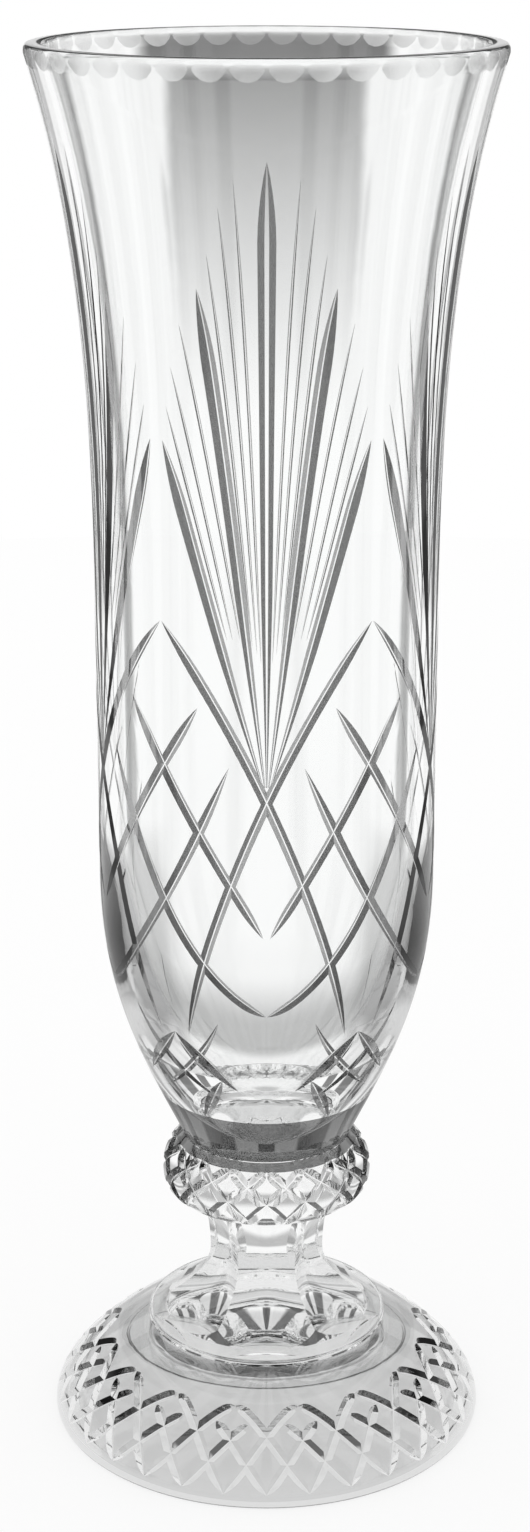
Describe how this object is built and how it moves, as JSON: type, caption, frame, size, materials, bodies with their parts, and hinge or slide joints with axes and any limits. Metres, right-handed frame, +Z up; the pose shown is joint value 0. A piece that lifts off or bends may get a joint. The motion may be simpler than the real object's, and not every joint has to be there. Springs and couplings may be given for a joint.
{
  "type": "footed vase",
  "caption": "Tall footed flower vase of clear cut glass: a deep flared bowl with scalloped rim on a round knop, fluted stem and domed hollow foot.",
  "frame": {"origin": "on the table, under the middle of the foot", "axes": "+Z up along the vase's turned axis, -Y towards the viewer of the picture, +X to the viewer's right"},
  "size_m": [0.1132, 0.1132, 0.356],
  "materials": {
    "foot_glass": "clear polished crystal, cut with a band of crossed grooves",
    "stem_glass": "clear polished crystal with flat flutes",
    "knop_glass": "clear polished crystal, cut all over with small diamonds",
    "bowl_glass": "clear polished crystal, cut with fans and a diamond lattice",
    "bond_film": "clear cured adhesive film"
  },
  "bodies": {
    "root": {"foot": "foot_glass", "foot_bond": "bond_film", "stem": "stem_glass", "stem_bond": "bond_film", "knop": "knop_glass", "knop_bond": "bond_film", "bowl": "bowl_glass"}
  },
  "joints": []
}
